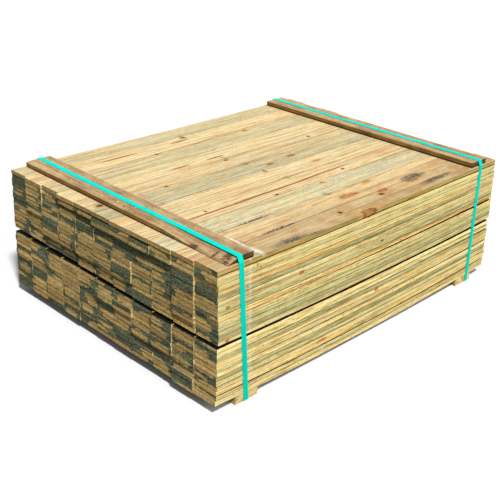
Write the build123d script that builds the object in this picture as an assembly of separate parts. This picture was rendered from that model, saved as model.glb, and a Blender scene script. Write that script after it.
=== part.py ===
"""Strapped bundle of treated pine fence palings, in two tiers on two bearers.

Millimetres. +X runs along the palings, +Y across the bundle, +Z is up. The origin is on the ground,
below the middle of the bundle. Rows are counted from the top down and columns from +Y to -Y.
"""
import os
from math import atan, cos, degrees, radians, sin, tan

from build123d import *

# Palings
PALING_LENGTH = 1500.0
PALING_WIDTH = 100.0
PALING_THICKNESS = 16.5  # at the -Y side
COLUMNS = 11
UPPER_ROWS = 15
LOWER_ROWS = 12
SIDE_GAP = 1.8  # between neighbours of one course
COURSE_GAP = 0.2  # between two courses where they bear on each other, at their ends
TIER_GAP = 10.0  # between the two tiers, above the bearers
TIER_RISE = 22.0  # of that gap from the -Y side to the +Y side: below it the palings get thicker

# How the courses hang: the drop at mid-length below the inner edges of the bearers
BOTTOM_SAG = 10.0
TOP_SAG = 2.0

# How unevenly the palings were stacked
END_SCATTER = 2.0  # along X, each paling
ROW_SWAY = 0.9  # along Y, each course

# Palings that stand proud at the -X end: first row, last row, first column, last column, by how much
PROUD_GROUPS = [
    (1, 3, 6, 9, 11.0),
    (1, 3, 10, 10, 7.5),
    (1, 3, 11, 11, 3.5),
    (1, 2, 4, 5, 9.0),
    (3, 3, 4, 5, -6.0),
    (1, 8, 2, 2, 7.0),
    (5, 7, 3, 5, 3.5),
    (8, 12, 3, 7, 8.0),
    (4, 13, 10, 10, 8.0),
    (13, 15, 2, 4, -4.0),
    (11, 15, 11, 11, -4.0),
    (18, 19, 6, 7, 8.0),
    (16, 22, 9, 9, 9.0),
    (16, 23, 10, 10, 4.5),
    (20, 22, 2, 3, -3.0),
    (21, 22, 8, 8, 6.0),
    (25, 27, 10, 10, 9.0),
    (27, 27, 11, 11, 7.0),
]

# Timbers across the bundle
BEARER_WIDTH = 100.0
BEARER_THICKNESS = 29.0
BEARER_END_DISTANCE = 137.0  # its middle, from the ends of the palings
FRONT_BATTEN_WIDTH = 106.0
BACK_BATTEN_WIDTH = 100.0
BATTEN_THICKNESS = 21.0
BATTEN_SIDE_INSET = 7.0  # its ends, inside the bundle's sides
FRONT_BATTEN_END_DISTANCE = 109.0
BACK_BATTEN_END_DISTANCE = 110.0
FRONT_BATTEN_SKEW = -0.7  # degrees
SPACER_WIDTH = 45.0
SPACER_SIDE_INSET = 60.0
SEAT_CLEARANCE = 0.3

# Straps
STRAP_WIDTH = 20.0
STRAP_THICKNESS = 1.0
STRAP_CLEARANCE = 0.3
FRONT_STRAP_TOP_DISTANCE = 108.0  # from the ends of the palings, halfway across the bundle
FRONT_STRAP_BOTTOM_DISTANCE = 147.0
FRONT_STRAP_SKEW = -1.4  # degrees
BACK_STRAP_TOP_DISTANCE = 108.0
BACK_STRAP_BOTTOM_DISTANCE = 115.0
WELD_LENGTH = 70.0  # where the strap's two ends overlap
WELD_SIDE_DISTANCE = 270.0  # from the -Y side to the middle of the overlap
GROOVE_SIDE_ROOM = 2.0  # on each side of the strap in the bearer's groove
GROOVE_GROUND_ROOM = 0.7  # between the strap and the ground

# Worked out from the sizes above
ROWS = UPPER_ROWS + LOWER_ROWS
COLUMN_PITCH = PALING_WIDTH + SIDE_GAP
BUNDLE_WIDTH = COLUMNS * PALING_WIDTH + (COLUMNS - 1) * SIDE_GAP
SEAT_X = PALING_LENGTH / 2 - BEARER_END_DISTANCE - BEARER_WIDTH / 2
END_RISE = (PALING_LENGTH / 2 / SEAT_X) ** 2 - 1
SAG_STEP = (BOTTOM_SAG - TOP_SAG) / (ROWS - 1)
TIER_STEP = TIER_RISE / (COLUMNS - 1)
GROOVE_DEPTH = STRAP_CLEARANCE + STRAP_THICKNESS + GROOVE_GROUND_ROOM


def sag(row):
    """The drop of a row's middle below its seat on the line of the bearers' inner edges."""
    return TOP_SAG + SAG_STEP * (row - 1)


def thickness(row, column):
    """The sawn thickness of a paling."""
    share = (COLUMNS - column) / (COLUMNS - 1)
    if row <= UPPER_ROWS:
        return PALING_THICKNESS - share * TIER_RISE / UPPER_ROWS
    return PALING_THICKNESS + share * TIER_RISE / LOWER_ROWS


def seat_height(row, column):
    """The underside of a paling, above the bearers' inner edges."""
    height = BEARER_THICKNESS + SEAT_CLEARANCE
    for row_below in range(row + 1, ROWS + 1):
        height += thickness(row_below, column) + COURSE_GAP + SAG_STEP * END_RISE
    if row <= UPPER_ROWS:
        height += TIER_GAP - COURSE_GAP
    return height


def underside(row, column, x):
    """The height of a paling's underside at a place along its length."""
    return seat_height(row, column) + sag(row) * ((x / SEAT_X) ** 2 - 1)


def top_side(row, column, x):
    """The height of a paling's top face at a place along its length."""
    return underside(row, column, x) + thickness(row, column)


def slope_angle(row, x):
    """The slope of a row at a place along its length, in degrees."""
    return degrees(atan(2 * sag(row) * x / SEAT_X**2))


def end_shift(row, column):
    """How far a paling lies towards +X of its even place."""
    scatter = END_SCATTER * sin(2.7 * column + 4.1 * row) * cos(1.3 * column - 2.2 * row)
    proud = 0.0
    for first_row, last_row, first_column, last_column, amount in PROUD_GROUPS:
        if first_row <= row <= last_row and first_column <= column <= last_column:
            proud = max(proud, amount, key=abs)
    return scatter - proud


def centred_end_shifts():
    """The end shift of every paling, about the middle of their reach."""
    shifts = {}
    for row in range(1, ROWS + 1):
        for column in range(1, COLUMNS + 1):
            shifts[row, column] = end_shift(row, column)
    middle = (max(shifts.values()) + min(shifts.values())) / 2
    return {place: shift - middle for place, shift in shifts.items()}


def paling(row, column, shift):
    """One paling, shifted along its row and bent to the row's sag, at the middle of the bundle."""
    ends_and_middle = (shift - PALING_LENGTH / 2, 0, shift + PALING_LENGTH / 2)
    low_start, low_mid, low_end = ((x, underside(row, column, x)) for x in ends_and_middle)
    top_start, top_mid, top_end = ((x, top_side(row, column, x)) for x in ends_and_middle)
    with BuildPart() as board:
        with BuildSketch(Plane.XZ):
            with BuildLine():
                ThreePointArc(low_start, low_mid, low_end)
                Line(low_end, top_end)
                ThreePointArc(top_end, top_mid, top_start)
                Line(top_start, low_start)
            make_face()
        extrude(amount=PALING_WIDTH / 2, both=True)
    return board.part


def course(row, shifts):
    """The palings of one row, side by side and a little apart."""
    sway = ROW_SWAY * sin(2.3 * row)
    palings = []
    for column in range(1, COLUMNS + 1):
        across = ((COLUMNS + 1) / 2 - column) * COLUMN_PITCH + sway
        palings.append(Pos(0, across, 0) * paling(row, column, shifts[row, column]))
    return Compound(children=palings)


def cross_timber(x, height, length, width, thickness, turn=(0, 0, 0)):
    """A timber across the bundle, with the middle of its underside at x and a height."""
    timber = Box(width, length, thickness, align=(Align.CENTER, Align.CENTER, Align.MIN))
    return Pos(x, 0, height) * Rotation(*turn) * timber


def top_batten(x, width, skew=0.0):
    """A board on the top row, lying on its slope."""
    height = top_side(1, COLUMNS, x) + SEAT_CLEARANCE
    length = BUNDLE_WIDTH - 2 * BATTEN_SIDE_INSET
    turn = (0, -slope_angle(1, x), skew)
    return cross_timber(x, height, length, width, BATTEN_THICKNESS, turn)


def tier_spacer(x):
    """A thin strip between the tiers, out of sight behind the strap."""
    row = UPPER_ROWS + 1
    length = BUNDLE_WIDTH - 2 * SPACER_SIDE_INSET
    middle = (top_side(row, 1, x) + top_side(row, COLUMNS, x)) / 2
    lift = TIER_STEP / 2 + SEAT_CLEARANCE  # over the edges of the palings, which rise in steps
    rise_angle = degrees(atan(TIER_STEP / COLUMN_PITCH))
    turn = (rise_angle, -slope_angle(row, x), 0)
    return cross_timber(x, middle + lift, length, SPACER_WIDTH, TIER_GAP - 2 * lift, turn)


def bearer(x, strap_x, strap_skew=0.0):
    """A timber on the ground under the bundle, with a groove below for the strap."""
    timber = cross_timber(x, 0, BUNDLE_WIDTH, BEARER_WIDTH, BEARER_THICKNESS)
    groove_width = STRAP_WIDTH + 2 * GROOVE_SIDE_ROOM
    groove_length = 2 * BUNDLE_WIDTH  # past both ends of the bearer
    groove = cross_timber(strap_x, 0, groove_length, groove_width, GROOVE_DEPTH, (0, 0, strap_skew))
    return timber - groove


def leaning_slice(bottom_x, lean, height, skew):
    """A slab as thick as the strap is wide, across the bundle, leaning along X and turned by the skew."""
    half_width = STRAP_WIDTH / 2
    with BuildPart() as slab:
        with BuildSketch(Plane.XZ):
            with BuildLine():
                Polyline(
                    (-half_width, 0),
                    (half_width, 0),
                    (lean + half_width, height),
                    (lean - half_width, height),
                    close=True,
                )
            make_face()
        extrude(amount=BUNDLE_WIDTH, both=True)
    return Pos(bottom_x, 0, 0) * Rotation(0, 0, skew) * slab.part


def strap(top_x, bottom_x, skew=0.0):
    """A flat band round batten, stack and bearer, leaning from its bottom run to its top run."""
    stack_top = top_side(1, COLUMNS, top_x)
    top = stack_top + SEAT_CLEARANCE + BATTEN_THICKNESS + 2 * STRAP_CLEARANCE
    bottom = GROOVE_DEPTH - STRAP_CLEARANCE
    side = BUNDLE_WIDTH / 2 + ROW_SWAY + STRAP_CLEARANCE
    batten_end = BUNDLE_WIDTH / 2 - BATTEN_SIDE_INSET + STRAP_CLEARANCE
    shoulder = stack_top + 2 * STRAP_CLEARANCE
    half_outline = [(batten_end, top), (side, shoulder), (side, bottom)]
    mirrored = [(-y, z) for y, z in reversed(half_outline)]
    lean = top_x - bottom_x
    reach = abs(lean) + STRAP_WIDTH + BUNDLE_WIDTH * tan(radians(abs(skew)))
    with BuildPart() as band:
        with BuildSketch(Plane.YZ.offset((top_x + bottom_x) / 2)):
            with BuildLine() as wrapped:
                Polyline(*half_outline, *mirrored, close=True)
            inner = make_face()
            offset(inner, STRAP_THICKNESS, kind=Kind.ARC, mode=Mode.REPLACE)
            make_face(wrapped.edges(), mode=Mode.SUBTRACT)
        extrude(amount=reach, both=True)
        # the two ends of the band, one on the other
        weld_y = -BUNDLE_WIDTH / 2 + WELD_SIDE_DISTANCE
        with Locations((top_x, weld_y, top + STRAP_THICKNESS)):
            tail_align = (Align.CENTER, Align.CENTER, Align.MIN)
            Box(2 * reach, WELD_LENGTH, STRAP_THICKNESS, align=tail_align)
    return band.part & leaning_slice(bottom_x, lean, top + 2 * STRAP_THICKNESS, skew)


def write(name, shape):
    export_step(shape, os.path.join("parts", name + ".step"))


def main():
    os.makedirs("parts", exist_ok=True)
    shifts = centred_end_shifts()
    for row in range(1, UPPER_ROWS + 1):
        write(f"upper_course_{row:02d}", course(row, shifts))
    for row in range(1, LOWER_ROWS + 1):
        write(f"lower_course_{row:02d}", course(UPPER_ROWS + row, shifts))

    front_end = -PALING_LENGTH / 2
    back_end = PALING_LENGTH / 2
    front_strap_top = front_end + FRONT_STRAP_TOP_DISTANCE
    front_strap_bottom = front_end + FRONT_STRAP_BOTTOM_DISTANCE
    back_strap_top = back_end - BACK_STRAP_TOP_DISTANCE
    back_strap_bottom = back_end - BACK_STRAP_BOTTOM_DISTANCE
    front_bearer_x = front_end + BEARER_END_DISTANCE
    write("bearer_front", bearer(front_bearer_x, front_strap_bottom, FRONT_STRAP_SKEW))
    write("bearer_back", bearer(back_end - BEARER_END_DISTANCE, back_strap_bottom))
    write("tier_spacer_front", tier_spacer(front_bearer_x))
    write("tier_spacer_back", tier_spacer(back_end - BEARER_END_DISTANCE))
    front_batten_x = front_end + FRONT_BATTEN_END_DISTANCE
    write("top_batten_front", top_batten(front_batten_x, FRONT_BATTEN_WIDTH, FRONT_BATTEN_SKEW))
    write("top_batten_back", top_batten(back_end - BACK_BATTEN_END_DISTANCE, BACK_BATTEN_WIDTH))
    write("strap_front", strap(front_strap_top, front_strap_bottom, FRONT_STRAP_SKEW))
    write("strap_back", strap(back_strap_top, back_strap_bottom))


main()
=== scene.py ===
"""The looks of a strapped bundle of treated pine fence palings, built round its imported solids.

Metres. +X runs along the palings, +Y across the bundle and +Z is up. Rows are counted from the top down in
each tier, columns from +Y to -Y.
"""
import math
from collections import namedtuple

import bpy
import numpy as np
from mathutils import Matrix, Vector


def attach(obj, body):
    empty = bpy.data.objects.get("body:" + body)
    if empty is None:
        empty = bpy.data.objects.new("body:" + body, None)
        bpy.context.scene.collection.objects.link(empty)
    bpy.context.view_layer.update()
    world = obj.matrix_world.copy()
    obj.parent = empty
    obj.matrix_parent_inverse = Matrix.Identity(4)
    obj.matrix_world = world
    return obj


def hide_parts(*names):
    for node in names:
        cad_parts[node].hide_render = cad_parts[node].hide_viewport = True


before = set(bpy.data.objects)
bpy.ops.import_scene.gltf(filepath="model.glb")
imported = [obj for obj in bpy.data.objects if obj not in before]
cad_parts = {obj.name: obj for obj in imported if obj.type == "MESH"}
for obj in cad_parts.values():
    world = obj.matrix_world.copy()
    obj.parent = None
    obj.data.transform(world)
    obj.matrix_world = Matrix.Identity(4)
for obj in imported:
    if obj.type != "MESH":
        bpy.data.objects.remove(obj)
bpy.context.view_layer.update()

MILLIMETRE = 0.001
SKIN = 0.0001  # a point this near a face counts as on it

# Palings
EASED_EDGE = 0.6 * MILLIMETRE
OUTER_CUTS = (40, 4)  # lengths along and strips across a paling that shows
INNER_CUTS = (4, 1)
END_LOOPS = (13 * MILLIMETRE, 19 * MILLIMETRE)  # from the ends of a paling
END_ZONE = 0.05  # from the end of a paling, where its cut runs out of square
END_SKEW = (0.008, 0.03)  # the spread of that slope, across and through the paling
END_FACING = 0.3  # the least share of an end face's normal that runs along X
SWOLLEN = 0.3 * MILLIMETRE  # how much wider than its slot a paling has grown
SAW_CLEARANCE = 0.00008  # from the paling above
SIDE_WAVE = 0.00035  # how far the sides of a paling stray from straight
FACE_WAVE = 0.0002
WAVE_TURNS = (1.3, 2.9, 5.1)  # in the length of a paling
PALING_SEED = 11

# The light left on faces that lie against a neighbour, on the narrow steps where palings stand proud,
# in the gap between the tiers and on the ends of the top course
HIDDEN_SHADE = 0.05
STEP_SHADE = 0.5
GAP_SHADE = 0.01
TOP_END_SHADE = 0.72

# How palings come off their logs
LOG_SEED = 5
LOG_RUNS = [1, 1, 1, 2, 2, 3]  # how many neighbours of a column one log gives, to choose from
PITH_ACROSS = 0.034  # at most, to either side of the middle
LONE_HEART = (0.026, 0.060)  # the heartwood's reach in a paling from a log of its own
LONE_PITH = (-0.004, 0.010)  # past the face of that paling
RUN_HEART = (0.032, 0.054)
RUN_HEART_GROWS = 0.012  # for each neighbour after the second
RUN_PITH = 0.007  # at most, above or below the middle of the run
HEART_FLATNESS = 2.8  # of the heartwood seen on an end
ALL_HEART = 0.3
SMALL_HEART = 0.03
NO_HEART = -0.05
NO_HEART_SHARE = 0.10
ALL_HEART_SHARE = 0.12

# The tone of palings, from green sapwood to resin, and how light each is
TONES = {"green": 0.06, "straw": 0.32, "cream": 0.54, "peach": 0.70, "orange": 0.90}
TONE_SPREAD = 0.06
COMMON_TONES = ["green", "straw", "cream", "peach"]
COMMON_LIGHT = (0.70, 1.12)
TOP_TONES = "straw peach straw cream peach green cream peach green peach peach".split()
TOP_LIGHT = (0.90, 0.96, 0.85, 0.97, 0.88, 0.82, 0.94, 0.92, 0.97, 0.93, 0.84)

# What differs between the tiers. The open joints are measured in millimetres at the -X end, halfway and at
# the +X end, by the row above the joint. The end gaps are what joints open more at the -X end, and the end
# hearts the palings whose heartwood is known, by row and column. Side tones and light are those of the
# palings along -Y, by row. The gap between the tiers widens towards +Y and closes halfway along.
Tier = namedtuple("Tier", "name open_joints end_gaps end_hearts side_tones side_light widening closing")
TIERS = (
    Tier(
        name="upper",
        open_joints={
            1: (1.6, 2.4, 1.8),
            5: (1.6, 1.4, 0.6),
            7: (0.6, 0.9, 0.5),
            10: (0.6, 4.6, 9.5),
            12: (0.7, 0.6, 0.4),
        },
        end_gaps={(1, 6): 3.2, (1, 8): 3.2, (1, 4): 1.6, (1, 5): 1.6, (2, 7): 1.2, (5, 10): 1.0},
        end_hearts=(
            [(1, column, ALL_HEART) for column in range(1, 11)]
            + [(row, column, NO_HEART) for row in (4, 5) for column in range(6, 11)]
            + [(2, 6, NO_HEART), (2, 8, NO_HEART), (3, 6, ALL_HEART), (3, 7, ALL_HEART)]
            + [(5, 8, SMALL_HEART), (5, 6, SMALL_HEART)]
        ),
        side_tones=(
            "straw straw straw straw orange green cream straw green peach cream straw straw green straw"
        ).split(),
        side_light=(
            0.96, 1.02, 0.90, 0.98, 0.98, 0.86, 0.96, 0.89, 0.90, 1.04, 1.00, 0.92, 0.96, 0.81, 0.94,
        ),
        widening=0.0,
        closing=0.0,
    ),
    Tier(
        name="lower",
        open_joints={
            1: (0.5, 1.8, 4.6),
            2: (0.4, 1.2, 4.0),
            5: (0.4, 1.4, 3.0),
            7: (0.8, 1.4, 2.2),
            10: (2.2, 3.4, 3.4),
        },
        end_gaps={},
        end_hearts=[],
        side_tones="cream cream green peach straw cream green straw straw peach straw cream".split(),
        side_light=(1.14, 1.04, 0.90, 1.02, 0.96, 1.06, 0.86, 1.0, 0.92, 1.06, 0.95, 1.04),
        widening=6.5,
        closing=3.0,
    ),
)
CLOSE_JOINT = (0.15, 1.1)  # the least and the most of the other joints, in millimetres

# Marks on the palings: the middle in millimetres, then the reach along, across and down
KNOTS = (
    ((34, -9, 490), (18, 9, 14)),
    ((169, 7, 490), (22, 8, 14)),
    ((199, -97, 490), (26, 7, 14)),
    ((41, -271, 490), (14, 6, 14)),
    ((169, -370, 490), (26, 9, 14)),
    ((15, -420, 490), (42, 15, 14)),
    ((150, -466, 490), (24, 13, 14)),
    ((315, -474, 490), (44, 12, 14)),
    ((-41, -552, 488), (36, 13, 13)),
    ((251, 349, 490), (11, 8, 14)),
    ((-705, -559, 364), (7, 20, 5)),
    ((-704, -559, 253), (6, 20, 5)),
    ((-255, -559, 76), (32, 20, 5)),
    ((30, -559, 176), (9, 20, 6)),
    ((154, -559, 328), (9, 20, 5)),
    ((-380, -559, 375), (9, 20, 5)),
)
PIN_KNOTS = (
    ((-11, 444, 490), (12, 8, 12)),
    ((-64, 132, 490), (8, 6, 12)),
    ((-420, 62, 490), (8, 6, 12)),
    ((-225, 356, 490), (7, 6, 12)),
    ((-128, -498, 490), (8, 8, 12)),
    ((-173, -247, 490), (8, 6, 12)),
    ((-469, -197, 490), (5, 6, 12)),
    ((401, 123, 490), (8, 6, 12)),
    ((210, -225, 490), (8, 6, 12)),
    ((116, -485, 490), (11, 8, 12)),
    ((-709, 68, 490), (15, 12, 12)),
    ((41, -559, 361), (8, 12, 4)),
)
RESIN_STREAKS = (
    ((-362, 414, 490), (105, 6, 12)),
    ((-54, 418, 490), (60, 6.5, 12)),
    ((-251, 183, 490), (60, 6, 12)),
    ((-75, 182, 490), (55, 6, 12)),
    ((-430, -214, 490), (230, 5.5, 12)),
    ((-150, -210, 490), (260, 5.5, 12)),
    ((130, -204, 490), (180, 5, 12)),
)
MOULD = (
    ((-425, -548, 488), (80, 25, 12)),
    ((-330, -556, 488), (60, 8, 12)),
    ((345, -452, 490), (70, 22, 12)),
    ((400, -520, 490), (95, 14, 12)),
    ((-585, -559, 470), (4, 20, 4)),
)
DASHES = (
    ((-390, -455, 490), (95, 9, 12)),
    ((-400, -353, 490), (85, 6.5, 12)),
    ((-140, -400, 490), (30, 3, 12)),
    ((345, -440, 490), (50, 8, 12)),
)
# Pale smears down the -Y side beside the front strap and on the top beside the front batten
PALE_SMEARS = (
    ((-613, -559, 430), (9, 20, 80)),
    ((-609, -559, 275), (9, 20, 70)),
    ((-603, -559, 120), (8, 20, 55)),
    ((-557, -525, 490), (14, 45, 12)),
    ((-560, -450, 490), (9, 70, 12)),
)
GOLDEN_EDGES = (((-722, -51, 490), (30, 4, 12)), ((-722, -254, 490), (30, 4, 12)))
STICKER_LINES = (-0.529, -0.008)  # where drying stickers lay across the palings
STRAY_KNOT_CELLS = (4.2, 10.0, 10.0)  # along, across and through a paling, in a metre
RAGGED = 0.014  # how far the outlines of marks stray

# Zones of the bundle that differ, each by the places where it fades in or out
TOP_ZONE = (-0.004, -0.003)  # up from the top of the palings
TOP_COURSE_ZONE = (-0.019, -0.017)
NEAR_FACE_ZONE = (-0.556, -0.553)  # along Y
NEAR_STAIN_ZONE = (-0.50, -0.34)
CORNER_ZONE = (-0.73, -0.60)  # along X

# Timbers across the top
BATTEN_CUTS = (9, 44)  # across and along
BATTEN_EDGE = 2.2 * MILLIMETRE
BATTEN_WAVE_SCALE = 0.09
BATTEN_WAVE_HEIGHT = 1.6 * MILLIMETRE
BATTEN_WAVE_LEVEL = 0.75  # the share of a wave that lies below the sawn face
WANE_WIDTH = 0.050  # of the edge of the front batten where the log's skin ran out
WANE_LENGTH = (0.13, 0.34)  # from its -Y end, to where it thins and to where it ends
WANE_DEPTH = 0.88  # of the batten's thickness
WORN_WIDTH = 0.018  # of the rest of that edge, which is only rubbed down
WORN_DEPTH = 0.13
WORN_END = 0.02  # of the back batten, at -Y
WORN_END_TAPER = 0.97
BARK = (
    ((-688, -478, 500), (26, 7, 18)),
    ((-668, -520, 505), (26, 18, 18)),
    ((-692, -390, 500), (14, 22, 18)),
    ((-690, -535, 495), (20, 12, 14)),
)
CHALK_SPECKS = (((-668, 20, 512), (5, 5, 8)), ((-655, -60, 512), (3, 3, 8)))

# Stage: what the floor and the sky are to the lens, and what they give to the light
FLOOR_SIZE = 60
FLOOR_SEEN = (0.95, 0.95, 0.95, 1)
FLOOR_GIVEN = (0.14, 0.14, 0.14, 1)
SKY_SEEN = (1, 1, 1, 1)
SKY_GIVEN = (0.20, 0.205, 0.21, 1)
LAMPS = (  # the way to each, its strength and its width in degrees
    ("key", (-0.25, -0.50, 0.83), 3.25, 6),
    ("fill", (0.15, -0.95, 0.28), 1.5, 60),
)
CAMERA_AZIMUTH = -45.40
CAMERA_ELEVATION = 22.10
CAMERA_ROLL = 1.78
CAMERA_DISTANCE = 3.738
CAMERA_OFFSET = (-0.0310, 0.3256)  # to its right and upwards
CAMERA_LENS = 67.04
CAMERA_SHIFT = -0.10
CAMERA_SENSOR = 36.0


def paint(red, green, blue):
    """A colour as a screen shows it, 0 to 255, made linear."""
    linear = []
    for part in (red, green, blue):
        share = part / 255
        linear.append(share / 12.92 if share <= 0.04045 else ((share + 0.055) / 1.055) ** 2.4)
    return (*linear, 1.0)


class Wire:
    """A value in a material. Sums on wires and numbers add Math nodes to it."""

    def __init__(self, tree, socket=None):
        self.tree = tree
        self.socket = socket

    def node(self, kind, inputs, output=0, stops=(), **settings):
        """Add a node, set it up, fill its inputs by name or number, and return one output or all."""
        made = self.tree.nodes.new("ShaderNode" + kind)
        for name, value in settings.items():
            setattr(made, name, value)
        if stops:
            ends = made.color_ramp.elements
            for element, (place, colour) in zip(ends, (stops[0], stops[-1])):
                element.position = place
                element.color = colour
            for place, colour in stops[1:-1]:
                ends.new(place).color = colour
        for name, value in inputs.items():
            if isinstance(value, Wire):
                self.tree.links.new(value.socket, made.inputs[name])
            else:
                made.inputs[name].default_value = value
        if output is None:
            return [Wire(self.tree, socket) for socket in made.outputs]
        return Wire(self.tree, made.outputs[output])

    def math(self, operation, *others):
        return self.node("Math", dict(enumerate((self, *others))), operation=operation)

    def __add__(self, other):
        return self.math("ADD", other)

    __radd__ = __add__

    def __sub__(self, other):
        return self.math("SUBTRACT", other)

    def __rsub__(self, other):
        return (self * -1.0) + other

    def __mul__(self, other):
        return self.math("MULTIPLY", other)

    __rmul__ = __mul__

    def __truediv__(self, other):
        return self.math("DIVIDE", other)

    def __pow__(self, other):
        return self.math("POWER", other)

    def __abs__(self):
        return self.math("ABSOLUTE")

    def rise(self, low, high):
        """0 below low, 1 above high and smooth between them."""
        bounds = {"Value": self, "From Min": low, "From Max": high}
        return self.node("MapRange", bounds, interpolation_type="SMOOTHSTEP")

    def fall(self, low, high):
        """1 below low, 0 above high and smooth between them."""
        return 1.0 - self.rise(low, high)

    def lerp(self, first, second, mode="MIX"):
        """A colour between two, with this wire as the share of the second."""
        return self.node("Mix", {0: self, 6: first, 7: second}, 2, data_type="RGBA", blend_type=mode)


def new_material(name):
    """A material with a Principled shader, and a bare wire to add nodes with."""
    material = bpy.data.materials.new(name)
    material.use_nodes = True
    return material, material.node_tree.nodes["Principled BSDF"], Wire(material.node_tree)


def feed(shader, **sockets):
    """Link wires to a shader's sockets or set plain values, with _ for the spaces in their names."""
    for name, value in sockets.items():
        socket = shader.inputs[name.replace("_", " ")]
        if isinstance(value, Wire):
            value.tree.links.new(value.socket, socket)
        else:
            socket.default_value = value


def streaks(bench, place, stretch, offset=(0.0, 0.0, 0.0), detail=3.0, roughness=0.55):
    """Noise drawn out by a stretch along each axis."""
    drawn = bench.node("VectorMath", {0: place, 1: stretch, 2: offset}, operation="MULTIPLY_ADD")
    settings = {"Vector": drawn, "Scale": 1.0, "Detail": detail, "Roughness": roughness}
    return bench.node("TexNoise", settings)


def nearest(bench, place, marks):
    """How far a point is from the closest of some marks, with 1 at the edge of each."""
    closest = None
    for middle, reach in marks:
        scale = [1 / (MILLIMETRE * part) for part in reach]
        shift = [-spot / part for spot, part in zip(middle, reach)]
        inside = bench.node("VectorMath", {0: place, 1: scale, 2: shift}, operation="MULTIPLY_ADD")
        distance = bench.node("VectorMath", {0: inside}, "Value", operation="LENGTH")
        closest = distance if closest is None else closest.math("MINIMUM", distance)
    return closest


def facing(bench):
    """How far a surface faces along each axis."""
    return bench.node("SeparateXYZ", {0: bench.node("NewGeometry", {}, "Normal")}, None)


Board = namedtuple("Board", "place along across through pith_across pith_through heart lean light offset")


def board_wires(bench):
    """What a paling's vertices tell: its own coordinates, its pith and heart, its tone, light and seed."""
    place, pith, tone_and_light = (
        bench.node("Attribute", {}, "Vector", attribute_name=name)
        for name in ("board_place", "board_pith", "board_tone_and_light")
    )
    along, across, through = bench.node("SeparateXYZ", {0: place}, None)
    pith_across, pith_through, heart = bench.node("SeparateXYZ", {0: pith}, None)
    lean, light, seed = bench.node("SeparateXYZ", {0: tone_and_light}, None)
    offset = bench.node("CombineXYZ", {0: seed * 53.0, 1: seed * 31.0, 2: seed * 17.0})
    return Board(place, along, across, through, pith_across, pith_through, heart, lean, light, offset)


def grain(bench, board, stretch, detail=3.0, roughness=0.55):
    """Noise drawn out over a paling, other than its neighbours'."""
    return streaks(bench, board.place, stretch, board.offset, detail, roughness)


def lit(bench, board, wood):
    """The wood of a paling times its painted light: its own lightness, with shade painted where its
    neighbours cover it.
    """
    light = bench.node("CombineXYZ", {0: board.light, 1: board.light, 2: board.light})
    return bench.node("Mix", {0: 1.0, 6: wood, 7: light}, 2, data_type="RGBA", blend_type="MULTIPLY")


Surface = namedtuple("Surface", "place ragged slow speckle side top on_top near_edge")


def surface_wires(bench, on_top):
    """Where on the bundle a point of a paling lies, and the noise that its marks share."""
    place = bench.node("TexCoord", {}, "Object")
    noise = bench.node("TexNoise", {"Vector": place, "Scale": 75.0, "Detail": 3.0}, "Color")
    ragged = bench.node("VectorMath", {0: noise, 1: (RAGGED,) * 3, 2: place}, operation="MULTIPLY_ADD")
    ragged = bench.node("VectorMath", {0: ragged, 1: (RAGGED / 2,) * 3}, operation="SUBTRACT")
    slow = bench.node("TexNoise", {"Vector": place, "Scale": 7.0, "Detail": 1.0})
    speckle = bench.node("TexNoise", {"Vector": place, "Scale": 300.0, "Detail": 2.0})
    _, side, height = bench.node("SeparateXYZ", {0: place}, None)
    top = height.rise(*(TOP_HEIGHT + limit for limit in TOP_ZONE))
    top_course = height.rise(*(TOP_HEIGHT + limit for limit in TOP_COURSE_ZONE))
    near_edge = side.fall(*NEAR_FACE_ZONE) * top_course * (1.0 - on_top)
    return Surface(place, ragged, slow, speckle, side, top, on_top, near_edge)


def aged(bench, board, surface, blotch, pine):
    """The pine with a dark edge and a stain along the top's -Y side, a pale corner and golden arrises."""
    pine = surface.near_edge.lerp(pine, (0.68, 0.64, 0.44, 1), "MULTIPLY")
    corner = board.along.fall(*CORNER_ZONE) * (1.0 - surface.on_top)
    pine = (corner * 0.18).lerp(pine, paint(255, 232, 166))
    stain = surface.side.fall(*NEAR_STAIN_ZONE) * surface.top
    pine = (stain * 0.35).lerp(pine, paint(196, 156, 106))
    patches = stain * surface.slow.rise(0.40, 0.6) * blotch.rise(0.42, 0.6)
    pine = (patches * 0.6).lerp(pine, paint(188, 142, 90))
    golden = nearest(bench, surface.place, GOLDEN_EDGES).fall(0.7, 1.1)
    return (golden * 0.95).lerp(pine, paint(240, 196, 92))


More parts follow.
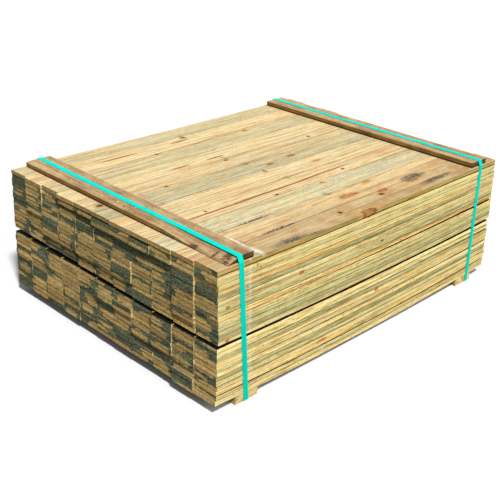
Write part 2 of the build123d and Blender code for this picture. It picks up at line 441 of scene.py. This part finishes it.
def knotted(bench, board, surface, blotch, pine):
    """The pine with its knots, pin knots and streaks of resin."""
    spread = {0: board.place, 1: STRAY_KNOT_CELLS, 2: board.offset}
    cell = bench.node("VectorMath", spread, operation="MULTIPLY_ADD")
    distance, colour, *_ = bench.node("TexVoronoi", {"Vector": cell, "Scale": 1.0}, None)
    chance, size, _ = bench.node("SeparateXYZ", {0: colour}, None)
    stray = distance / (size * 0.03 + 0.015) + chance.fall(0.72, 0.74) * 9.0
    knot = nearest(bench, surface.ragged, KNOTS).math("MINIMUM", stray) + (blotch - 0.5) * 1.6
    pine = (knot.fall(1.0, 2.6) * 0.6).lerp(pine, paint(226, 178, 108))
    pine = (knot.fall(0.8, 1.1) * 0.75).lerp(pine, paint(196, 132, 70))
    rim = knot.rise(0.45, 0.9) * knot.fall(0.95, 1.4)
    rim = rim * surface.speckle.rise(0.38, 0.54) * surface.slow.rise(0.44, 0.54)
    pine = (rim * 0.9).lerp(pine, paint(100, 52, 26))
    rings = (knot * 3.0).math("FRACT").rise(0.5, 1.0) * knot.fall(0.9, 1.0)
    pine = (rings * surface.speckle.rise(0.4, 0.6) * 0.6).lerp(pine, paint(130, 70, 34))
    pine = (knot.fall(0.0, 0.5) * 0.6).lerp(pine, paint(172, 106, 52))
    pin_knot = nearest(bench, surface.ragged, PIN_KNOTS)
    pine = (pin_knot.fall(1.0, 2.2) * 0.6).lerp(pine, paint(196, 128, 70))
    pine = (pin_knot.fall(0.7, 1.2) * 0.95).lerp(pine, paint(46, 32, 28))
    resin = nearest(bench, surface.place, RESIN_STREAKS) + (surface.speckle - 0.5) * 0.3
    return (resin.fall(0.7, 1.1) * 0.95).lerp(pine, paint(158, 82, 36))


def soiled(bench, board, surface, pine):
    """The pine with its mould, the smudges where drying stickers lay, and pale smears."""
    grime = streaks(bench, surface.place, (110.0, 260.0, 260.0), detail=3.0, roughness=0.6)
    mould = nearest(bench, surface.ragged, MOULD).fall(0.5, 1.5) * grime.rise(0.34, 0.48)
    mould = mould * (1.0 - surface.near_edge)
    dash = nearest(bench, surface.place, DASHES) + (surface.speckle - 0.5) * 2.0
    mould = mould.math("MAXIMUM", dash.fall(0.7, 1.2) * grime.rise(0.42, 0.49) * surface.top)
    rubbed = abs(board.across).rise(0.028, 0.042) * surface.top * surface.slow.rise(0.38, 0.50)
    rubbed = rubbed * grime.rise(0.44, 0.60) * (surface.slow.rise(0.42, 0.62) * 0.55 + 0.35)
    wander = (surface.slow - 0.5) * 0.16 + (surface.speckle - 0.5) * 0.03
    for line in STICKER_LINES:
        smudge = abs(board.along - line + wander).fall(0.008, 0.020) * rubbed
        mould = mould.math("MAXIMUM", smudge)
    pine = (mould * 0.9).lerp(pine, paint(66, 60, 68))
    gaps = surface.speckle.rise(0.46 - surface.top * 0.16, 0.60 - surface.top * 0.1)
    pale_smear = nearest(bench, surface.ragged, PALE_SMEARS).fall(0.5, 1.2) * gaps
    return (pale_smear * (surface.top * 0.3 + 0.65)).lerp(pine, paint(255, 248, 232))


def sawn_pine(name):
    """Rough-sawn treated pine along the grain."""
    material, shader, bench = new_material(name)
    board = board_wires(bench)
    figure = grain(bench, board, (1.5, 14.0, 14.0))
    bands = grain(bench, board, (1.0, 46.0, 90.0), 3.0, 0.5)
    lines = grain(bench, board, (2.6, 120.0, 230.0), 3.0, 0.6)
    hairs = grain(bench, board, (15.0, 250.0, 400.0), 2.0, 0.6)
    flecks = grain(bench, board, (70.0, 340.0, 340.0), 2.0, 0.5)
    mottle = grain(bench, board, (42.0, 85.0, 120.0), 3.0, 0.7)
    blotch = grain(bench, board, (14.0, 22.0, 22.0), 4.0, 0.6)
    grey = grain(bench, board, (2.0, 52.0, 84.0), 4.0, 0.6).rise(0.54, 0.68)
    _, _, upwards = facing(bench)
    on_top = upwards.rise(0.6, 0.9)
    wander = (figure - 0.5) * 0.06
    radius = ((board.across - board.pith_across + wander) ** 2.0
              + (board.through - board.pith_through + wander * 0.6) ** 2.0) ** 0.5
    heartwood = (board.heart - radius).rise(-0.02, 0.012)
    warmth = board.lean * (1.0 - on_top * 0.15) + heartwood * 0.12 + 0.04
    warmth = warmth + (bands - 0.5) * (on_top * 0.8 + 1.0) + (lines - 0.5) * (on_top * 0.3 + 0.6)
    warmth = warmth + (blotch - 0.5) * (on_top * 0.3 + 0.1) + (figure - 0.5) * 0.6
    pine = bench.node("ValToRGB", {0: warmth}, stops=[
        (0.0, paint(148, 146, 98)),
        (0.2, paint(190, 182, 124)),
        (0.4, paint(224, 205, 138)),
        (0.58, paint(252, 225, 158)),
        (0.78, paint(250, 212, 142)),
        (0.92, paint(242, 192, 112)),
        (1.0, paint(222, 162, 84)),
    ])
    ring = (radius / 0.0085 + bands * 2.4).math("FRACT")
    latewood = ring.rise(0.35, 0.85) * ring.fall(0.9, 1.0)
    pine = (latewood * figure.rise(0.35, 0.7) * 0.45).lerp(pine, paint(186, 136, 72))
    pine = (on_top * warmth.fall(0.12, 0.46) * 0.7).lerp(pine, paint(214, 210, 166))
    pine = (lines.rise(0.53, 0.63) * (0.75 - on_top * 0.15)).lerp(pine, paint(142, 114, 62))
    pine = (lines.fall(0.37, 0.47) * 0.7).lerp(pine, paint(255, 238, 192))
    pine = (hairs.rise(0.53, 0.64) * (0.5 - on_top * 0.1)).lerp(pine, paint(132, 100, 56))
    pine = (hairs.fall(0.36, 0.47) * (0.5 - on_top * 0.1)).lerp(pine, paint(255, 244, 206))
    pine = (grey * (0.5 + on_top * 0.15)).lerp(pine, paint(156, 148, 116))
    pine = (on_top * 0.24).lerp(pine, paint(226, 206, 174))
    pine = (mottle.rise(0.5, 0.7) * 0.15).lerp(pine, paint(168, 138, 88))
    pine = (mottle.fall(0.3, 0.5) * 0.15).lerp(pine, paint(255, 242, 202))
    pine = (flecks.rise(0.64, 0.68) * 0.7).lerp(pine, paint(122, 80, 44))
    pine = (1.0 - on_top).lerp(pine, (0.97, 1.0, 0.84, 1), "MULTIPLY")
    surface = surface_wires(bench, on_top)
    pine = aged(bench, board, surface, blotch, pine)
    pine = knotted(bench, board, surface, blotch, pine)
    pine = lit(bench, board, soiled(bench, board, surface, pine))
    relief = hairs * 0.7 + latewood * 0.3
    bump = bench.node("Bump", {"Strength": 0.5, "Distance": 0.0007, "Height": relief})
    feed(shader, Base_Color=pine, Roughness=0.84 - latewood * 0.1, Normal=bump, Specular_IOR_Level=0.15)
    return material


def pine_end_grain(name):
    """The cut ends of palings: green sapwood that took the treatment, round tan heartwood."""
    material, shader, bench = new_material(name)
    board = board_wires(bench)
    ragged = grain(bench, board, (0.0, 95.0, 230.0), 4.0, 0.75)
    coarse = grain(bench, board, (0.0, 30.0, 60.0), 2.0)
    mottle = grain(bench, board, (0.0, 120.0, 240.0), 3.0, 0.7)
    saw = grain(bench, board, (0.0, 14.0, 210.0), 3.0, 0.6)
    wander = (ragged - 0.5) * 0.030 + (coarse - 0.5) * 0.055
    radius = (abs(board.across - board.pith_across) ** 3.0
              + (abs(board.through - board.pith_through) * HEART_FLATNESS) ** 3.0) ** (1 / 3)
    heartwood = (board.heart - radius + wander).rise(-0.0012, 0.0012)
    _, width, thickness = PALING_SIZE
    edge_distance = (thickness / 2 - abs(board.through)).math("MINIMUM", width / 2 - abs(board.across))
    edge_distance = edge_distance + (ragged - 0.5) * 0.003
    tan = mottle.rise(0.34, 0.66).lerp(paint(206, 154, 84), paint(255, 228, 152))
    green = mottle.rise(0.38, 0.62).lerp(paint(78, 88, 66), paint(148, 158, 124))
    wood = heartwood.lerp(green, tan)
    ring = (radius / 0.009 + coarse).math("FRACT")
    wood = (ring.rise(0.45, 0.95) * 0.22).lerp(wood, paint(92, 70, 36))
    wood = (saw.rise(0.54, 0.66) * 0.45).lerp(wood, paint(82, 66, 36))
    # Dark lines within about a millimetre of each paling's edges on its end: painted shade of the joints
    # between the palings.
    wood = (edge_distance.fall(0.0002, 0.0014) * 0.8).lerp(wood, paint(34, 30, 18))
    wood = lit(bench, board, wood)
    bump = bench.node("Bump", {"Strength": 0.5, "Distance": 0.0008, "Height": mottle - saw * 0.5})
    feed(shader, Base_Color=wood, Roughness=0.88, Normal=bump, Specular_IOR_Level=0.1)
    return material


def bearer_pine(name):
    """Rough pale pine with its grain along Y."""
    material, shader, bench = new_material(name)
    place = bench.node("TexCoord", {}, "Object")
    bands = streaks(bench, place, (42.0, 2.6, 42.0), detail=5.0, roughness=0.6)
    lines = streaks(bench, place, (170.0, 8.0, 170.0), detail=3.0, roughness=0.6)
    share = bands * 0.7 + lines * 0.3
    wood = bench.node("ValToRGB", {0: share}, stops=[
        (0.36, paint(168, 140, 84)),
        (0.49, paint(214, 188, 126)),
        (0.62, paint(238, 214, 154)),
    ])
    wood = (lines.rise(0.54, 0.68) * 0.5).lerp(wood, paint(150, 120, 66))
    bump = bench.node("Bump", {"Strength": 0.6, "Distance": 0.001, "Height": lines * 0.6 + bands * 0.4})
    feed(shader, Base_Color=wood, Roughness=0.86, Normal=bump, Specular_IOR_Level=0.15)
    return material


def weathered_timber(name):
    """An old batten, brown with its grain along Y, with bark on its waney edge. Its sides are a darker
    golden-brown, deepened by painted shade, and its foot carries a painted contact shadow.
    """
    material, shader, bench = new_material(name)
    place = bench.node("TexCoord", {}, "Object")
    bands = streaks(bench, place, (60.0, 3.0, 60.0), detail=4.0, roughness=0.6)
    lines = streaks(bench, place, (230.0, 14.0, 230.0), detail=3.0, roughness=0.65)
    flecks = streaks(bench, place, (190.0, 60.0, 190.0), detail=3.0, roughness=0.6)
    patches = streaks(bench, place, (22.0, 11.0, 22.0), detail=5.0, roughness=0.65)
    share = bands * 0.45 + patches * 0.35 + lines * 0.2
    wood = bench.node("ValToRGB", {0: share}, stops=[
        (0.36, paint(126, 98, 66)),
        (0.48, paint(178, 147, 104)),
        (0.60, paint(212, 185, 140)),
    ])
    wood = (patches.fall(0.36, 0.46) * 0.30).lerp(wood, paint(148, 124, 98))
    wood = (lines.rise(0.54, 0.66) * 0.6).lerp(wood, paint(112, 78, 46))
    wood = (lines.fall(0.34, 0.45) * 0.4).lerp(wood, paint(226, 198, 154))
    wood = (flecks.rise(0.58, 0.66) * 0.6).lerp(wood, paint(96, 66, 40))
    bark = nearest(bench, place, BARK) + (flecks - 0.5) * 3.0
    wood = (bark.fall(0.5, 1.1) * 0.85).lerp(wood, paint(72, 44, 26))
    wood = nearest(bench, place, CHALK_SPECKS).fall(0.7, 1.2).lerp(wood, paint(250, 244, 230))
    _, sideways, upwards = facing(bench)
    # The sides keep a darker golden-brown of their own and are darkened further by painted shade
    wood = abs(upwards).fall(0.3, 0.8).lerp(wood, (0.54, 0.45, 0.23, 1), "MULTIPLY")
    wood = abs(sideways).rise(0.5, 0.9).lerp(wood, (0.40, 0.48, 0.9, 1), "MULTIPLY")
    # A painted contact shadow: near black over the lowest share of the batten, where it lies on the
    # palings
    low = bench.node("Attribute", {}, "Fac", attribute_name="batten_rise").fall(0.16, 0.40)
    wood = (low * 0.95).lerp(wood, paint(20, 14, 8))
    bump = bench.node("Bump", {"Strength": 0.7, "Distance": 0.0012, "Height": lines * 0.5 + flecks * 0.5})
    feed(shader, Base_Color=wood, Roughness=0.86, Normal=bump, Specular_IOR_Level=0.15)
    return material


def strap_plastic(name):
    """Turquoise strapping with faint streaks along it and scuffs, with painted shade where it hangs down,
    darker again lower down.
    """
    material, shader, bench = new_material(name)
    place = bench.node("TexCoord", {}, "Object")
    lines = streaks(bench, place, (420.0, 3.0, 3.0), detail=2.0)
    scuffs = streaks(bench, place, (160.0, 26.0, 26.0), detail=3.0, roughness=0.6)
    _, _, upwards = facing(bench)
    _, _, height = bench.node("SeparateXYZ", {0: place}, None)
    hanging = abs(upwards).fall(0.3, 0.8)
    tint = lines.rise(0.3, 0.7).lerp((0.0, 0.70, 0.58, 1), (0.0, 0.85, 0.74, 1))
    # Painted shade on the faces that hang, darker again lower down
    tint = hanging.lerp(tint, (1.0, 0.87, 0.76, 1), "MULTIPLY")
    tint = (hanging * height.fall(0.0, 0.46)).lerp(tint, (1.0, 0.88, 0.86, 1), "MULTIPLY")
    tint = (scuffs.rise(0.52, 0.66) * 0.4).lerp(tint, (0.02, 0.52, 0.42, 1))
    bump = bench.node("Bump", {"Strength": 0.2, "Distance": 0.0003, "Height": lines})
    feed(shader, Base_Color=tint, Roughness=0.6, Normal=bump, Specular_IOR_Level=0.03)
    return material


def edit(piece):
    """Open a piece, and nothing else, in edit mode with all of it selected."""
    bpy.ops.object.select_all(action="DESELECT")
    piece.select_set(True)
    bpy.context.view_layer.objects.active = piece
    bpy.ops.object.mode_set(mode="EDIT")
    bpy.ops.mesh.select_all(action="SELECT")


def sawn_block(name, size, eased, segments, cuts):
    """A sawn block about the origin with eased edges, cut at the given places along each axis."""
    bpy.ops.object.select_all(action="DESELECT")
    bpy.ops.mesh.primitive_cube_add(size=1)
    block = bpy.context.object
    block.name = name
    edit(block)
    bpy.ops.transform.resize(value=size)
    bpy.ops.mesh.bevel(offset=eased, segments=segments, affect="EDGES")
    for axis, places in enumerate(cuts):
        for place in places:
            spot, normal = Vector(), Vector()
            spot[axis] = place
            normal[axis] = 1.0
            bpy.ops.mesh.select_all(action="SELECT")
            bpy.ops.mesh.bisect(plane_co=spot, plane_no=normal)
    bpy.ops.object.mode_set(mode="OBJECT")
    return block


def even_cuts(length, count):
    """The places that cut a length about the origin into equal parts."""
    return [length * (step / count - 0.5) for step in range(1, count)]


def points_of(piece):
    """The vertices of a mesh as rows of x, y and z."""
    points = np.empty(len(piece.data.vertices) * 3)
    piece.data.vertices.foreach_get("co", points)
    return points.reshape(-1, 3)


Block = namedtuple("Block", "points faces ends")


def paling_block(name, segments, cuts):
    """A modelled paling with loops near its ends, as arrays to copy. Faces on its ends are marked by 1."""
    length, width, _ = PALING_SIZE
    loops = [side * (length / 2 - loop) for side in (-1, 1) for loop in END_LOOPS]
    places = (even_cuts(length, cuts[0]) + loops, even_cuts(width, cuts[1]))
    piece = sawn_block(name, PALING_SIZE, EASED_EDGE, segments, places)
    faces = [tuple(face.vertices) for face in piece.data.polygons]
    ends = [int(abs(face.normal.x) > END_FACING) for face in piece.data.polygons]
    block = Block(points_of(piece), faces, ends)
    bpy.data.objects.remove(piece)
    return block


def courses(tier_name):
    """The names of a tier's course nodes from the top down."""
    return sorted(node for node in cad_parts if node.startswith(tier_name + "_course"))


Slot = namedtuple("Slot", "start end middle width low curve thickness")


def course_slots(node):
    """Where the frame puts each paling of a course, from +Y to -Y."""
    points = points_of(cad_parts[node])
    sides = np.unique(np.round(points[:, 1], 5))[::-1]
    slots = []
    for far_side, near_side in zip(sides[::2], sides[1::2]):
        own = points[(points[:, 1] < far_side + SKIN) & (points[:, 1] > near_side - SKIN)]
        start, end = own[:, 0].min(), own[:, 0].max()
        heights = own[own[:, 0] < start + SKIN][:, 2]
        low = own[:, 2].min()
        slots.append(Slot(
            start=start,
            end=end,
            middle=(far_side + near_side) / 2,
            width=far_side - near_side,
            low=low,
            curve=(heights.min() - low) / start**2,
            thickness=heights.max() - heights.min(),
        ))
    return slots


def opening(joint, x):
    """How far a joint stands open at each x, by a curve through its three measures."""
    front, middle, back = joint
    reach = x / PALING_SIZE[0] * 2
    return MILLIMETRE * (middle + (back - front) / 2 * reach + ((front + back) / 2 - middle) * reach**2)


def column_joints(joints, end_gaps, column):
    """The joints of a tier as one column has them, with what it has of the gaps at the -X end."""
    own_joints = list(joints)
    for (row, gap_column), extra in end_gaps.items():
        if gap_column == column + 1:
            front, middle, back = joints[row - 1]
            own_joints[row - 1] = (front + extra, middle + extra / 3, back)
    return own_joints


def waver(along, rng, size):
    """A slow random wave along a board."""
    wave = np.zeros_like(along)
    for turns in WAVE_TURNS:
        wave += np.sin(2 * math.pi * (turns * along + rng.random())) / turns
    return wave * size


def cant_piths(rows, thickness, rng):
    """The pith and heart of each board of a column: some neighbours come off one log."""
    piths = []
    while len(piths) < rows:
        count = int(rng.choice(LOG_RUNS))
        across = rng.uniform(-PITH_ACROSS, PITH_ACROSS)
        if count == 1:
            heart = rng.uniform(*LONE_HEART)
            height = rng.choice((-1, 1)) * (thickness / 2 + rng.uniform(*LONE_PITH))
        else:
            heart = rng.uniform(*RUN_HEART) + RUN_HEART_GROWS * (count - 2)
            height = rng.uniform(-RUN_PITH, RUN_PITH)
        kind = rng.random()
        if kind < NO_HEART_SHARE:
            heart = NO_HEART
        elif kind < NO_HEART_SHARE + ALL_HEART_SHARE:
            heart = ALL_HEART
        for place in range(count):
            piths.append((across, height + (place - (count - 1) / 2) * thickness, heart))
    return piths[:rows]


def bent_points(block, slots, row, column, joints, settle, rng):
    """The block's points laid in a paling's slot, with its tier's open joints and uneven sawing."""
    slot = slots[row][column]
    length, width, thickness = PALING_SIZE
    along = block[:, 0] / length + 0.5
    end_share = np.clip((np.abs(block[:, 0]) - length / 2 + END_ZONE) / END_ZONE, 0, 1)
    x = slot.start + along * (slot.end - slot.start)
    slope = rng.normal(0, END_SKEW[0]) * block[:, 1] + rng.normal(0, END_SKEW[1]) * block[:, 2]
    x = x + end_share * slope
    y = slot.middle + block[:, 1] * (slot.width + SWOLLEN) / width + waver(along, rng, SIDE_WAVE)
    rows = len(slots)
    slack = sum(opening(joint, x) for joint in joints) + opening(settle, x)
    below = rows - 1 - row
    lift = sum((opening(joint, x) for joint in joints[row:]), np.zeros_like(x)) - slack * below / rows
    low = slot.low + slot.curve * x**2
    tall = slot.thickness
    if row:
        above = slots[row - 1][column]
        tall = above.low + above.curve * x**2 - low
    tall = tall - slack / rows - SAW_CLEARANCE
    uneven = np.abs(waver(along, rng, FACE_WAVE))
    z = low + lift + (block[:, 2] / thickness + 0.5) * (tall - uneven)
    return np.stack([x, y, z], 1)


def gap_side(tier, row, rows):
    """1 if a row's top looks into the gap between the tiers, -1 if its underside does, or else 0."""
    if tier.name == "upper":
        return -1 if row == rows - 1 else 0
    return 1 if row == 0 else 0


def open_light(block, top, gap, column, columns):
    """1 where a paling's surface is open to the light, and less where its neighbours lie against it."""
    along, across, through = block.T
    length, width, thickness = PALING_SIZE
    covered = through < SKIN - thickness / 2
    if not top:
        covered |= through > thickness / 2 - SKIN
    if column > 0:
        covered |= across > width / 2 - SKIN
    if column < columns - 1:
        covered |= across < SKIN - width / 2
    inwards = (length / 2 - np.abs(along) - END_LOOPS[0]) / (END_LOOPS[1] - END_LOOPS[0])
    light = np.where(covered, np.clip(1 - inwards, HIDDEN_SHADE, 1), 1.0)
    light[covered & (through > thickness / 2 - SKIN)] *= STEP_SHADE
    light[through * gap > thickness / 2 - SKIN] = GAP_SHADE
    if top:
        light[np.abs(along) > length / 2 - SKIN] *= TOP_END_SHADE
    return light


Stack = namedtuple("Stack", "slots joints piths")


def course_piece(name, tier, stack, row, tones, rng, materials):
    """The palings of one course as one mesh, each with its own grain and tone."""
    points, faces, ends = [], [], []
    places, piths, looks = [], [], []
    rows, columns = len(stack.slots), len(stack.slots[0])
    top = name == TOP_PIECE
    first = 0
    for column in range(columns):
        block = OUTER_BLOCK if top or column in (0, columns - 1) else INNER_BLOCK
        count = len(block.points)
        wider = tier.widening * (columns - 1 - column) / (columns - 1)
        settle = (wider, wider - tier.closing, wider)
        joints = column_joints(stack.joints, tier.end_gaps, column)
        points.append(bent_points(block.points, stack.slots, row, column, joints, settle, rng))
        faces.extend(tuple(first + corner for corner in face) for face in block.faces)
        ends.extend(block.ends)
        first += count

        lean = TONES[tones[column]] + rng.uniform(-TONE_SPREAD, TONE_SPREAD)
        own_light = rng.uniform(*COMMON_LIGHT)
        if top:
            own_light = TOP_LIGHT[column]
        elif column == columns - 1:
            own_light = tier.side_light[row]
        # The light value is painted: the board's own lightness times shade painted on faces its neighbours
        # cover, in the gap between the tiers and in the open joints at the -X end.
        light = open_light(block.points, top, gap_side(tier, row, rows), column, columns) * own_light
        if (row, column + 1) in tier.end_gaps:
            light[block.points[:, 2] > PALING_SIZE[2] / 2 - SKIN] = GAP_SHADE
        places.append(block.points)
        piths.append(np.tile(stack.piths[column][row], (count, 1)))
        looks.append(np.stack([np.full(count, lean), light, np.full(count, rng.random())], 1))
    mesh = bpy.data.meshes.new(name)
    mesh.from_pydata(np.concatenate(points).tolist(), [], faces)
    for title, groups in (("board_place", places), ("board_pith", piths), ("board_tone_and_light", looks)):
        attribute = mesh.attributes.new(title, "FLOAT_VECTOR", "POINT")
        attribute.data.foreach_set("vector", np.concatenate(groups).astype(np.float32).ravel())
    for material in materials:
        mesh.materials.append(material)
    mesh.polygons.foreach_set("material_index", np.array(ends, np.int32))
    mesh.update()
    piece = bpy.data.objects.new(name, mesh)
    bpy.context.scene.collection.objects.link(piece)
    return piece


def hang(piece, node):
    """Let a piece stand for a node, hiding the node, and ride with the bundle."""
    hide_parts(node)
    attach(piece, "root")


def build_palings():
    """Every course of both tiers."""
    rng = np.random.default_rng(PALING_SEED)
    log_rng = np.random.default_rng(LOG_SEED)
    materials = [sawn_pine("treated_pine_sawn"), pine_end_grain("treated_pine_end_grain")]
    for tier in TIERS:
        nodes = courses(tier.name)
        slots = [course_slots(node) for node in nodes]
        columns = len(slots[0])
        joints = [tier.open_joints.get(row, rng.uniform(*CLOSE_JOINT, 3)) for row in range(1, len(nodes))]
        piths = [cant_piths(len(nodes), slots[0][0].thickness, log_rng) for _ in range(columns)]
        for row, column, heart in tier.end_hearts:
            piths[column - 1][row - 1] = (*piths[column - 1][row - 1][:2], heart)
        stack = Stack(slots, joints, piths)
        for row, node in enumerate(nodes):
            name = node.replace("course", "palings")
            tones = list(rng.choice(COMMON_TONES, columns))
            tones[-1] = tier.side_tones[row]
            if name == TOP_PIECE:
                tones = TOP_TONES
            hang(course_piece(name, tier, stack, row, tones, rng, materials), node)


def box_pose(node):
    """The size and placing of a node that is a box lying nearly along the axes."""
    corners = np.unique(np.round(points_of(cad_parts[node]), 6), axis=0)
    middle = (corners.max(0) + corners.min(0)) / 2
    axes = []
    for axis in (0, 1):
        high = corners[:, axis] > middle[axis]
        axes.append(Vector(corners[high].mean(0) - corners[~high].mean(0)).normalized())
    axes.append(axes[0].cross(axes[1]).normalized())
    axes[0] = axes[1].cross(axes[2])
    turned = (corners - middle) @ np.array(axes).T
    size = turned.max(0) - turned.min(0)
    return size, Matrix.Translation(middle) @ Matrix(axes).transposed().to_4x4()


def batten(node, finish, waney):
    """A batten with worn edges and an uneven face, waney along part of one edge or worn at one end."""
    size, placing = box_pose(node)
    cuts = (even_cuts(size[0], BATTEN_CUTS[0]), even_cuts(size[1], BATTEN_CUTS[1]), [])
    piece = sawn_block(node.replace("top_", "weathered_"), size, BATTEN_EDGE, 3, cuts)
    waves = bpy.data.textures.new("batten_waves", "CLOUDS")
    waves.noise_scale = BATTEN_WAVE_SCALE
    uneven = piece.modifiers.new("uneven", "DISPLACE")
    uneven.texture = waves
    uneven.strength = BATTEN_WAVE_HEIGHT
    uneven.mid_level = BATTEN_WAVE_LEVEL
    bpy.ops.object.modifier_apply(modifier=uneven.name)
    rise = points_of(piece)[:, 2] / size[2] + 0.5
    attribute = piece.data.attributes.new("batten_rise", "FLOAT", "POINT")
    attribute.data.foreach_set("value", rise.astype(np.float32))
    half = size / 2
    for vertex in piece.data.vertices:
        x, y, z = vertex.co
        if waney:
            along = (WANE_LENGTH[1] - y - half[1]) / (WANE_LENGTH[1] - WANE_LENGTH[0])
            waned = WANE_DEPTH * max(1 - (x + half[0]) / WANE_WIDTH, 0) * min(max(along, 0), 1)
            worn = WORN_DEPTH * max(1 - (x + half[0]) / WORN_WIDTH, 0)
            vertex.co.z -= max(waned, worn) * (z + half[2])
        elif y < WORN_END - half[1] and abs(x) > half[0] - WORN_END:
            vertex.co.x *= WORN_END_TAPER
    piece.data.transform(placing)
    piece.data.materials.append(finish)
    piece.data.update()
    hang(piece, node)


def build_timbers():
    """The battens, bearers, spacers and straps."""
    weathered = weathered_timber("weathered_batten")
    bearer = bearer_pine("bearer_pine")
    plastic = strap_plastic("turquoise_strapping")
    batten("top_batten_front", weathered, True)
    batten("top_batten_back", weathered, False)
    for kind, finish in (("bearer", bearer), ("tier_spacer", bearer), ("strap", plastic)):
        for end in ("front", "back"):
            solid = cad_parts[kind + "_" + end]
            solid.data.materials.clear()
            solid.data.materials.append(finish)


def build_floor():
    """A plain pale floor."""
    bpy.ops.object.select_all(action="DESELECT")
    bpy.ops.mesh.primitive_plane_add(size=FLOOR_SIZE)
    floor = bpy.context.object
    floor.name = "floor"
    material, shader, bench = new_material("pale_floor")
    grey = bench.node("LightPath", {}, "Is Camera Ray").lerp(FLOOR_GIVEN, FLOOR_SEEN)
    feed(shader, Base_Color=grey, Roughness=1.0, Specular_IOR_Level=0.0)
    floor.data.materials.append(material)


def build_light():
    """A plain sky, and soft light from the -Y side."""
    world = bpy.data.worlds.new("studio")
    bpy.context.scene.world = world
    world.use_nodes = True
    bench = Wire(world.node_tree)
    camera_ray = bench.node("LightPath", {}, "Is Camera Ray")
    glossy_ray = bench.node("LightPath", {}, "Is Glossy Ray")
    colour = camera_ray.math("MAXIMUM", glossy_ray).lerp(SKY_GIVEN, SKY_SEEN)
    feed(world.node_tree.nodes["Background"], Color=colour)
    for name, to_lamp, energy, width in LAMPS:
        sun = bpy.data.lights.new(name, "SUN")
        sun.energy = energy
        sun.angle = math.radians(width)
        lamp = bpy.data.objects.new(name, sun)
        bpy.context.scene.collection.objects.link(lamp)
        lamp.rotation_euler = Vector(to_lamp).to_track_quat("Z", "Y").to_euler()


def build_camera():
    """The camera, placed by its angles about the origin."""
    azimuth, elevation, roll = map(math.radians, (CAMERA_AZIMUTH, CAMERA_ELEVATION, CAMERA_ROLL))
    back = Vector((
        math.sin(azimuth) * math.cos(elevation),
        -math.cos(azimuth) * math.cos(elevation),
        math.sin(elevation),
    ))
    level = Vector((math.cos(azimuth), math.sin(azimuth), 0))
    upright = back.cross(level)
    right = math.cos(roll) * level + math.sin(roll) * upright
    up = back.cross(right)
    place = back * CAMERA_DISTANCE + right * CAMERA_OFFSET[0] + up * CAMERA_OFFSET[1]
    lens = bpy.data.cameras.new("camera")
    lens.lens = CAMERA_LENS
    lens.sensor_width = CAMERA_SENSOR
    lens.shift_y = CAMERA_SHIFT
    camera = bpy.data.objects.new("camera", lens)
    bpy.context.scene.collection.objects.link(camera)
    camera.matrix_world = Matrix.Translation(place) @ Matrix((right, up, back)).transposed().to_4x4()
    bpy.context.scene.camera = camera
    bpy.context.scene.view_settings.view_transform = "Standard"


top_slot = course_slots(courses("upper")[0])[0]
PALING_SIZE = (top_slot.end - top_slot.start, top_slot.width, top_slot.thickness)
TOP_PIECE = courses("upper")[0].replace("course", "palings")
TOP_HEIGHT = top_slot.low + top_slot.thickness
OUTER_BLOCK = paling_block("outer_paling", 2, OUTER_CUTS)
INNER_BLOCK = paling_block("inner_paling", 1, INNER_CUTS)
build_palings()
build_timbers()
build_floor()
build_light()
build_camera()
